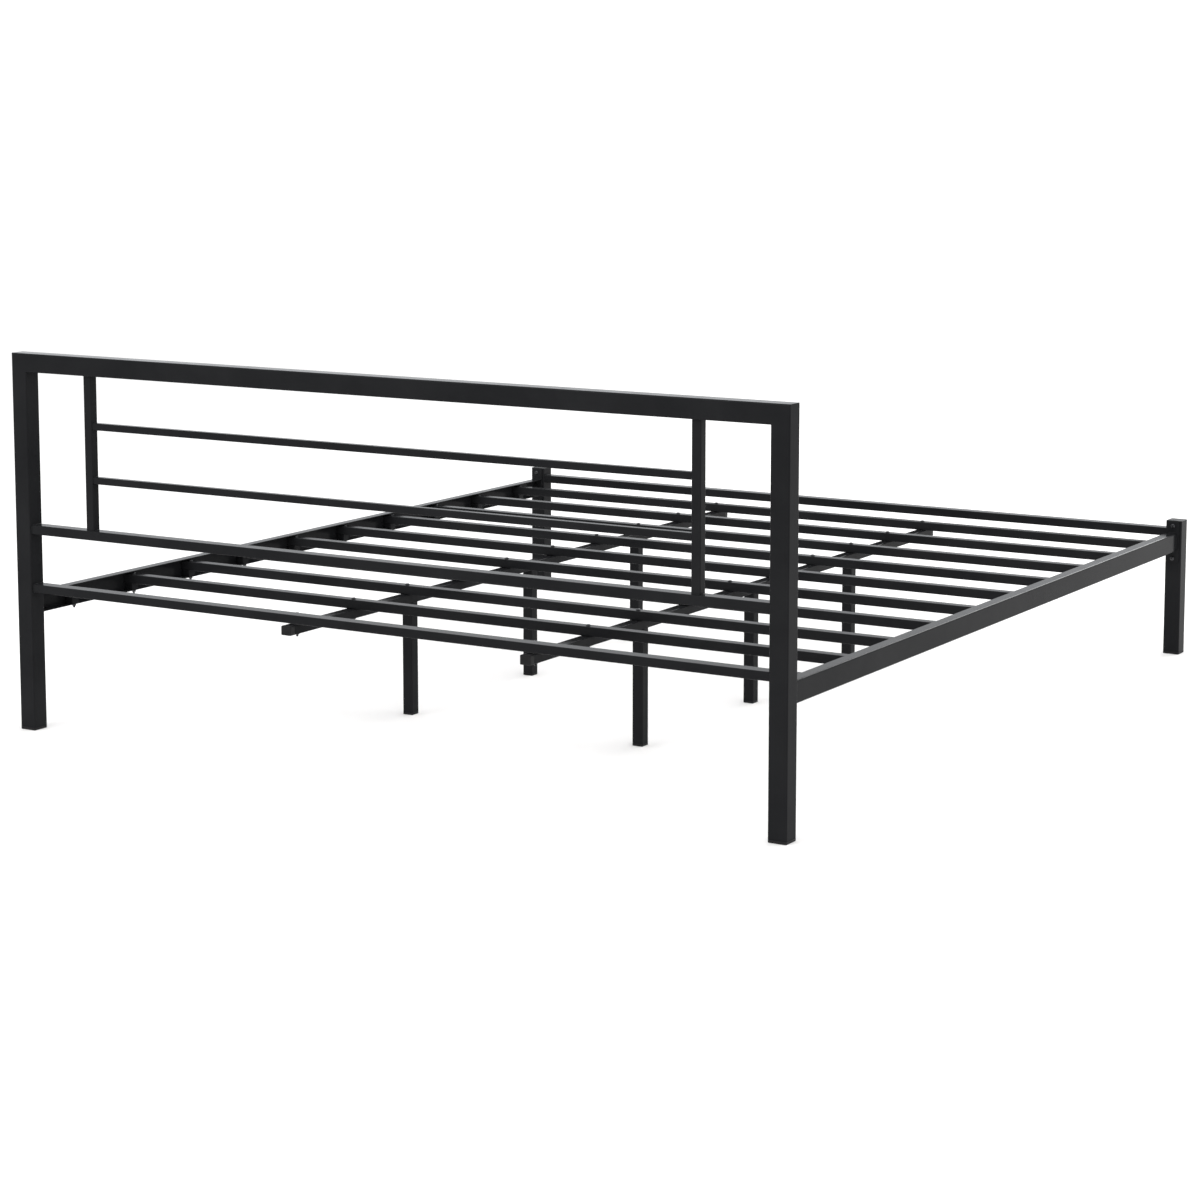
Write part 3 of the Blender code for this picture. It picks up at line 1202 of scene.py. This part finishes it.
def slat_screw(length: float) -> ButtonBolt:
    """Sizes a slat's screw.

    Args:
        length: from under its head to its tip.

    Returns:
        The screw.
    """
    return ButtonBolt(
        head_radius=0.0048, head_height=0.0028, shank=0.0025, length=length,
        thread=0.010, pitch=0.0008, socket=0.003, socket_depth=0.0018,
    )


SLATS = tuple(f"slat_{number:02d}" for number in range(1, 11))


@dataclass
class SlatFasteners:
    """Screws and nuts that hold every slat down to both side rails and both beams.

    Attributes:
        rail_screw: sizes of the screws through the side rails.
        beam_screw: sizes of the screws through the beams.
        nut: sizes of the nuts.
        lip_distance: how far the rails' screws stand from the lip of the flange.
        gap: air under a screw's head and over a nut.
    """

    rail_screw: ButtonBolt = slat_screw(RAIL_SCREW_LENGTH)
    beam_screw: ButtonBolt = slat_screw(BEAM_SCREW_LENGTH)
    nut: HexNut = HexNut()
    lip_distance: float = 0.005
    gap: float = 0.0001

    def lines(self) -> List[Tuple[str, float, float, ButtonBolt]]:
        """Finds where each line of fasteners runs.

        Returns:
            Name, X, height of the nuts and screw of each line.
        """
        found = []
        for side in Side:
            rail_low, rail_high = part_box(f"side_rail_{side.word}")
            beam_low, beam_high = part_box(f"support_beam_{side.word}")
            lip_x = rail_low.x if side is Side.RIGHT else rail_high.x
            rail_x = lip_x + side.value * self.lip_distance
            beam_x = (beam_low.x + beam_high.x) / 2
            found.append((f"rail_{side.word}", rail_x, rail_low.z, self.rail_screw))
            found.append((f"beam_{side.word}", beam_x, beam_low.z, self.beam_screw))
        return found

    def build(self, shop: Shop) -> None:
        """Builds and dresses one piece of screws and one of nuts for each line.

        Args:
            shop: the finishes.
        """
        slats = [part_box(slat) for slat in SLATS]
        for name, x, underside, screw in self.lines():
            screws, nuts = bmesh.new(), bmesh.new()
            for low, high in slats:
                y = (low.y + high.y) / 2
                self.drop(screws, screw.shape(), Vector((x, y, high.z + self.gap)))
                self.drop(nuts, self.nut.shape(), Vector((x, y, underside - self.gap)))
            shop.finish(screws, f"slat_screws_{name}", BOLT_STEEL, crease=SCREW_CREASE)
            shop.finish(nuts, f"slat_nuts_{name}", BOLT_STEEL, crease=NUT_CREASE)

    def drop(self, bm: BMesh, shape: BMesh, place: Vector) -> None:
        """Adds a fastener to a line.

        Args:
            bm: the line.
            shape: the fastener; it is freed.
            place: where it goes.
        """
        bmesh.ops.translate(shape, verts=shape.verts[:], vec=place)
        join(bm, shape)


# Welds.

WELD_CREASE = 60.0  # degrees above which a bead's edge stays sharp


@dataclass(frozen=True)
class Bead:
    """Short run of weld between two points, rippled like laid coins.

    Attributes:
        start: one end of the run.
        end: the other end.
        radius: half the bead's width.
        pitch: distance from one ripple to the next.
        around: faces round the bead.
        cuts: rings of faces for each ripple.
        ripple: depth of a ripple, as a share of the radius.
        fewest: ripples of the shortest run.
        tail: radius of the bead's very ends, as a share of the radius.
        blunt: how late the bead narrows towards its ends.
        bow: how far the bead's middle line bends sideways, as a share of the radius.
    """

    start: Vector
    end: Vector
    radius: float
    pitch: float = 0.0021
    around: int = 8
    cuts: int = 3
    ripple: float = 0.14
    fewest: int = 3
    tail: float = 0.25
    blunt: int = 5
    bow: float = 0.35

    def add_to(self, bm: BMesh) -> None:
        """Adds the bead to a bmesh.

        Args:
            bm: the set of welds that it belongs to.
        """
        way = self.end - self.start
        length = way.length
        ripples = max(self.fewest, round(length / self.pitch))
        bead = bmesh.new()
        bmesh.ops.create_cone(
            bead, cap_ends=True, segments=self.around,
            radius1=self.radius, radius2=self.radius, depth=length,
        )
        long_edges = edges_along(bead, Axis.Z)
        bmesh.ops.subdivide_edges(bead, edges=long_edges, cuts=ripples * self.cuts - 1)
        for vert in bead.verts:
            along = vert.co.z / length + 0.5
            swell = 1 - self.ripple + self.ripple * abs(math.sin(math.pi * ripples * along))
            full = math.sqrt(max(0.0, 1.0 - abs(2 * along - 1) ** self.blunt))
            vert.co.xy *= swell * (self.tail + (1 - self.tail) * full)
            vert.co.z += self.bow * self.radius * math.cos(math.atan2(vert.co.y, vert.co.x))
        turn = Vector((0, 0, 1)).rotation_difference(way.normalized()).to_matrix().to_4x4()
        middle = Matrix.Translation((self.start + self.end) / 2)
        bmesh.ops.transform(bead, verts=bead.verts[:], matrix=middle @ turn)
        join(bm, bead)


@dataclass
class WeldSet:
    """Beads round the ends of a group of tubes, joined as one piece.

    Attributes:
        name: the piece's name.
        finish: the coat that covers the welds.
        radius: half a bead's width.
        inset: how far each bead stops short of the tube's corners.
        bury: how far its middle line lies inside the tube's surface.
    """

    name: str
    finish: PowderCoat
    radius: float
    inset: float = 0.0018
    bury: float = 0.0004

    def around_end(self, bm: BMesh, node: str, axis: Axis, sign: int) -> None:
        """Adds a bead along each side of a tube's end.

        Args:
            bm: the set's bmesh.
            node: the tube's node.
            axis: the way that the tube runs.
            sign: 1 for its far end, -1 for its near end.
        """
        low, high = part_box(node)
        run = axis.value
        plane = high[run] if sign > 0 else low[run]
        first, second = [i for i in range(3) if i != run]
        for fixed, along in ((first, second), (second, first)):
            for edge_sign in (1, -1):
                edge = high[fixed] - self.bury if edge_sign > 0 else low[fixed] + self.bury
                start, end = Vector((0, 0, 0)), Vector((0, 0, 0))
                start[along] = low[along] + self.inset
                end[along] = high[along] - self.inset
                for point in (start, end):
                    point[run] = plane
                    point[fixed] = edge
                Bead(start, end, self.radius).add_to(bm)

    def build(self, shop: Shop, ends: Sequence[Tuple[str, Axis, int]]) -> Object:
        """Builds and dresses the set.

        Args:
            shop: the finishes.
            ends: node, axis and sign of each tube end to weld.

        Returns:
            The new object.
        """
        bm = bmesh.new()
        for node, axis, sign in ends:
            self.around_end(bm, node, axis, sign)
        return shop.finish(bm, self.name, self.finish, crease=WELD_CREASE)


# Sub-assemblies.

HEAD_BARS = ("head_mid_rail", "head_bottom_rail", "head_lower_bar", "head_upper_bar")
LEG_ROWS = ("head", "middle", "foot")
LEVELS = ("upper", "lower")


@dataclass
class Headboard:
    """Two tall posts mitred to a top rail, with the open panel between them.

    Attributes:
        bead: half the width of its weld beads.
    """

    bead: float = 0.0016

    def build(self, shop: Shop) -> None:
        """Builds and dresses every tube of the headboard, and its welds.

        Args:
            shop: the finishes.
        """
        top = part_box("head_top_rail")[1].z
        for side in Side:
            post = f"head_post_{side.word}"
            mitre = ((1, Axis.X, float(side.value)),)
            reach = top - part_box(post)[1].z
            Tube(post, FRAME_COAT, Axis.Z, POST_SECTION, mitre, reach).build(shop)
            Tube(f"head_inner_upright_{side.word}", FRAME_COAT, Axis.Z).build(shop)
        mitres = ((1, Axis.Z, 1.0), (-1, Axis.Z, 1.0))
        Tube("head_top_rail", FRAME_COAT, Axis.X, POST_SECTION, mitres).build(shop)
        for bar in HEAD_BARS:
            Tube(bar, FRAME_COAT, Axis.X).build(shop)
        self.weld(shop)

    def weld(self, shop: Shop) -> None:
        """Lays the headboard's beads.

        Args:
            shop: the finishes.
        """
        ends = []
        for sign in (1, -1):
            ends.extend((bar, Axis.X, sign) for bar in HEAD_BARS)
            ends.extend((f"head_inner_upright_{side.word}", Axis.Z, sign) for side in Side)
        WeldSet("head_welds", FRAME_COAT, self.bead).build(shop, ends)


@dataclass
class FootEnd:
    """Two low posts with capped tops, and the rail between them.

    Attributes:
        cap: sizes of a post's cap.
        bead: half the width of its weld beads.
    """

    cap: Mould = Mould(rim=0.0025, corner=0.003, edge=0.0016)
    bead: float = 0.0016

    def build(self, shop: Shop) -> None:
        """Builds and dresses the foot end.

        Args:
            shop: the finishes.
        """
        for side in Side:
            Tube(f"foot_post_{side.word}", FRAME_COAT, Axis.Z, POST_SECTION).build(shop)
            Plug(f"foot_post_cap_{side.word}", PLUG_PLASTIC, Facing.UP, self.cap).build(shop)
        Tube("foot_cross_rail", FRAME_COAT, Axis.X).build(shop)
        ends = [("foot_cross_rail", Axis.X, sign) for sign in (1, -1)]
        WeldSet("foot_welds", FRAME_COAT, self.bead).build(shop, ends)


@dataclass
class Feet:
    """Plastic feet under the posts and the centre legs.

    Attributes:
        post_foot: sizes of a foot under a post.
        leg_foot: sizes of a foot under a centre leg.
    """

    post_foot: Mould = Mould(rim=0.005, corner=0.003, edge=0.0012)
    leg_foot: Mould = Mould(rim=0.004, corner=0.002, edge=0.001)

    def build(self, shop: Shop) -> None:
        """Builds and dresses every foot.

        Args:
            shop: the finishes.
        """
        for side in Side:
            for end in End:
                foot = f"{end.word}_post_foot_{side.word}"
                Plug(foot, PLUG_PLASTIC, Facing.DOWN, self.post_foot).build(shop)
            for row in LEG_ROWS:
                foot = f"centre_leg_foot_{row}_{side.word}"
                Plug(foot, PLUG_PLASTIC, Facing.DOWN, self.leg_foot).build(shop)


@dataclass
class SideRails:
    """Folded side rails with their welded end plates and the screws into the posts.

    Attributes:
        bead: half the width of a weld bead.
        clear: how far a bead stops short of a fold.
        lip_clear: how far a bead stops short of a flange's lip.
    """

    bead: float = 0.0018
    clear: float = 0.004
    lip_clear: float = 0.003

    def build(self, shop: Shop) -> None:
        """Builds and dresses both rails, their plates, welds and screws.

        Args:
            shop: the finishes.
        """
        for side in Side:
            rail = f"side_rail_{side.word}"
            Channel(rail, RAIL_COAT, side).build(shop)
            for end in End:
                EndPlate(f"{end.word}_end_plate_{side.word}", RAIL_COAT).build(shop)
            self.weld(shop, rail, side)
        for end in End:
            for side in Side:
                for level in LEVELS:
                    CornerBolt(f"{end.word}_bolt_{side.word}_{level}", BOLT_STEEL, end).build(shop)

    def weld(self, shop: Shop, rail: str, side: Side) -> None:
        """Lays a bead along the web and both flanges at each end of a rail.

        Args:
            shop: the finishes.
            rail: the rail's node.
            side: the rail's side, which its web faces.
        """
        low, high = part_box(rail)
        web_x = high.x if side is Side.RIGHT else low.x
        lip_x = low.x if side is Side.RIGHT else high.x
        bm = bmesh.new()
        for y in (low.y, high.y):
            start = Vector((web_x, y, low.z + self.clear))
            end = Vector((web_x, y, high.z - self.clear))
            Bead(start, end, self.bead).add_to(bm)
            for z in (low.z, high.z):
                start = Vector((web_x - side.value * self.clear, y, z))
                end = Vector((lip_x + side.value * self.lip_clear, y, z))
                Bead(start, end, self.bead).add_to(bm)
        shop.finish(bm, f"rail_welds_{side.word}", RAIL_COAT, crease=WELD_CREASE)


@dataclass
class Supports:
    """Beams with their plugs, the centre legs, the slats and the slats' fasteners.

    Attributes:
        cap: sizes of the plug in a beam's end.
        bead: half the width of the legs' weld beads.
    """

    cap: Mould = Mould(rim=0.014, corner=0.002, edge=0.0012)
    bead: float = 0.0017

    def build(self, shop: Shop) -> None:
        """Builds and dresses everything under the mattress.

        Args:
            shop: the finishes.
        """
        ends = []
        for side in Side:
            Tube(f"support_beam_{side.word}", SUPPORT_COAT, Axis.Y, BEAM_SECTION).build(shop)
            for end in End:
                way = Facing.HEAD if end is End.HEAD else Facing.FOOT
                Plug(f"beam_cap_{end.word}_{side.word}", PLUG_PLASTIC, way, self.cap).build(shop)
            for row in LEG_ROWS:
                leg = f"centre_leg_{row}_{side.word}"
                Tube(leg, SUPPORT_COAT, Axis.Z, BEAM_SECTION).build(shop)
                ends.append((leg, Axis.Z, 1))
        for slat in SLATS:
            Slat(slat, SLAT_COAT).build(shop)
        WeldSet("leg_welds", SUPPORT_COAT, self.bead).build(shop, ends)
        SlatFasteners().build(shop)


# Studio.


@dataclass(frozen=True)
class Softbox:
    """Soft lamp that looks at the bed and stays out of sight.

    Attributes:
        name: its name.
        place: where it hangs.
        size: its width and height.
        power: its power in watts.
        aim: the point that it looks at.
    """

    name: str
    place: Tuple[float, float, float]
    size: Tuple[float, float]
    power: float
    aim: Tuple[float, float, float] = (0.0, 0.0, 0.3)

    def hang(self) -> None:
        """Adds the lamp to the scene."""
        light = bpy.data.lights.new(self.name, "AREA")
        light.shape = "RECTANGLE"
        light.size, light.size_y = self.size
        light.energy = self.power
        lamp = bpy.data.objects.new(self.name, light)
        lamp.location = self.place
        look = Vector(self.aim) - Vector(self.place)
        lamp.rotation_euler = look.to_track_quat("-Z", "Y").to_euler()
        lamp.visible_camera = False
        bpy.context.scene.collection.objects.link(lamp)


SOFTBOXES = (
    Softbox("overhead", place=(-0.8, 0.6, 3.6), size=(3.2, 3.2), power=45.0),
    Softbox("foot_side", place=(-0.93, -5.9, 3.0), size=(3.0, 2.0), power=160.0),
    Softbox("head_side", place=(1.8, 4.8, 3.0), size=(3.2, 1.2), power=70.0),
)


@dataclass
class Studio:
    """Pale floor, even white surroundings, soft lamps and the camera.

    Attributes:
        floor_radius: radius of the floor.
        floor_segments: sides of its outline.
        floor_tone: the floor's colour.
        floor_roughness: how matt it is.
        floor_sheen: how strongly it mirrors head-on.
        sky_tone: colour of the surroundings.
        zenith: their strength overhead.
        horizon: their strength at the horizon.
        fade: height at which the strength has changed from one to the other, from 0 to 1.
        lens: focal length in millimetres.
        sensor: width of the sensor in millimetres.
        shift: how far the picture is shifted down, in picture heights.
        stand: where the camera stands.
        dip: how far it looks down, in radians.
        swing: how far it is turned from the line from head to foot, in radians.
    """

    floor_radius: float = 900.0
    floor_segments: int = 96
    floor_tone: Colour = (0.945, 0.925, 0.905, 1.0)
    floor_roughness: float = 0.9
    floor_sheen: float = 0.1
    sky_tone: Colour = (0.955, 0.975, 1.0, 1.0)
    zenith: float = 1.11
    horizon: float = 1.34
    fade: float = 0.45
    lens: float = 88.35
    sensor: float = 36.0
    shift: float = -0.12
    stand: Tuple[float, float, float] = (-3.3747, 5.7687, 1.4307)
    dip: float = 0.1323
    swing: float = 0.5425

    def build(self) -> None:
        """Builds the floor, the light and the camera."""
        self.build_floor()
        self.build_sky()
        for softbox in SOFTBOXES:
            softbox.hang()
        self.build_camera()
        bpy.context.scene.view_settings.view_transform = "Standard"

    def build_floor(self) -> None:
        """Lays a wide matt floor."""
        bm = bmesh.new()
        bmesh.ops.create_circle(
            bm, cap_ends=True, segments=self.floor_segments, radius=self.floor_radius
        )
        mesh = bpy.data.meshes.new("floor")
        bm.to_mesh(mesh)
        bm.free()
        floor = bpy.data.objects.new("floor", mesh)
        bpy.context.scene.collection.objects.link(floor)
        material, _, shader = start_material("pale_floor", self.floor_tone)
        shader.inputs["Base Color"].default_value = self.floor_tone
        shader.inputs["Roughness"].default_value = self.floor_roughness
        shader.inputs["Specular IOR Level"].default_value = self.floor_sheen
        mesh.materials.append(material)

    def build_sky(self) -> None:
        """Surrounds the scene with even white light."""
        world = bpy.data.worlds.new("white_room")
        world.use_nodes = True
        tree = world.node_tree
        back = tree.nodes["Background"]
        back.inputs["Color"].default_value = self.sky_tone
        place = add_node(tree, "ShaderNodeTexCoord")
        split = add_node(tree, "ShaderNodeSeparateXYZ")
        fall = add_node(
            tree, "ShaderNodeMapRange", clamp=True,
            from_max=self.fade, to_min=self.horizon, to_max=self.zenith,
        )
        tree.links.new(place.outputs["Generated"], split.inputs[0])
        tree.links.new(split.outputs["Z"], fall.inputs["Value"])
        tree.links.new(fall.outputs["Result"], back.inputs["Strength"])
        bpy.context.scene.world = world

    def build_camera(self) -> None:
        """Stands the camera behind the headboard's left corner, looking slightly down."""
        data = bpy.data.cameras.new("camera")
        data.lens = self.lens
        data.sensor_width = self.sensor
        data.shift_y = self.shift
        camera = bpy.data.objects.new("camera", data)
        camera.location = self.stand
        camera.rotation_euler = (math.pi / 2 - self.dip, 0.0, math.pi + self.swing)
        bpy.context.scene.collection.objects.link(camera)
        bpy.context.scene.camera = camera


def main() -> None:
    """Builds the sub-assemblies in order, then the studio."""
    logging.basicConfig(level=logging.INFO, format="%(name)s: %(message)s")
    shop = Shop()
    for assembly in (Headboard(), FootEnd(), Feet(), SideRails(), Supports()):
        LOG.info("building %s", type(assembly).__name__)
        assembly.build(shop)
    Studio().build()


if __name__ == "__main__":
    main()
